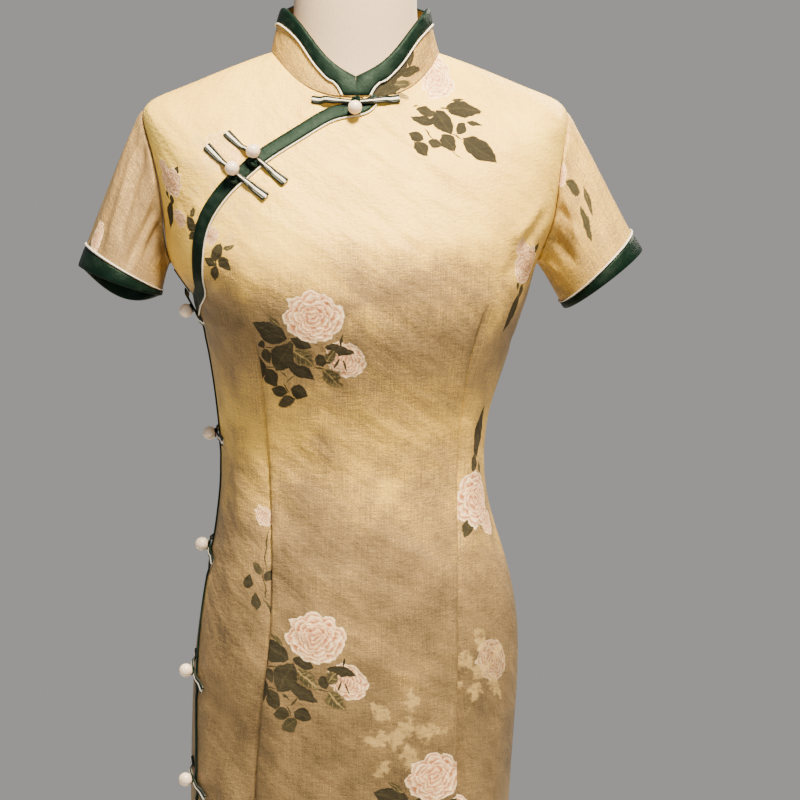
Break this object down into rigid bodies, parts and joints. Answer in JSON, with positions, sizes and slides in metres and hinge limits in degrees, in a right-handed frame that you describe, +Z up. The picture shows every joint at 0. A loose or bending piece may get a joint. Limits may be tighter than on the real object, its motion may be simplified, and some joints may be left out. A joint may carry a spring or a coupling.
{
  "type": "cheongsam dress on a dress form",
  "caption": "Short-sleeved cheongsam with a standing collar, a slanted lapel and knotted ball buttons, fitted on a limbless dress form with a pole and a round base.",
  "frame": {"origin": "centre of the underside of the stand's base, on the floor", "axes": "+Z up the pole; -Y towards the front of the dress; +X to the wearer's left"},
  "size_m": [0.5192, 0.3, 1.481],
  "materials": {
    "gold_satin": "champagne gold satin with a fine crosswise slub and a printed spray of roses",
    "green_satin": "dark green satin",
    "white_piping": "off-white satin cord",
    "pearl": "cream pearl",
    "linen": "plain linen",
    "black_enamel": "satin black enamel"
  },
  "bodies": {
    "root": {"back": "gold_satin", "binding_collar": "green_satin", "binding_cuff_left": "green_satin", "binding_cuff_right": "green_satin", "binding_lapel": "green_satin", "binding_side": "green_satin", "binding_underarm": "green_satin", "collar": "gold_satin", "form_torso": "linen", "frog_chest_1_ball": "pearl", "frog_chest_1_knot": "green_satin", "frog_chest_1_loop": "green_satin", "frog_chest_2_ball": "pearl", "frog_chest_2_knot": "green_satin", "frog_chest_2_loop": "green_satin", "frog_neck_ball": "pearl", "frog_neck_knot": "green_satin", "frog_neck_loop": "green_satin", "frog_side_1_ball": "pearl", "frog_side_1_knot": "green_satin", "frog_side_1_loop": "green_satin", "frog_side_2_ball": "pearl", "frog_side_2_knot": "green_satin", "frog_side_2_loop": "green_satin", "frog_side_3_ball": "pearl", "frog_side_3_knot": "green_satin", "frog_side_3_loop": "green_satin", "frog_side_4_ball": "pearl", "frog_side_4_knot": "green_satin", "frog_side_4_loop": "green_satin", "frog_side_5_ball": "pearl", "frog_side_5_knot": "green_satin", "frog_side_5_loop": "green_satin", "front_main": "gold_satin", "front_under": "gold_satin", "piping_collar": "white_piping", "piping_cuff_left": "white_piping", "piping_cuff_right": "white_piping", "piping_lapel": "white_piping", "sleeve_left": "gold_satin", "sleeve_right": "gold_satin", "stand_base": "black_enamel", "stand_pole": "black_enamel"}
  },
  "joints": []
}
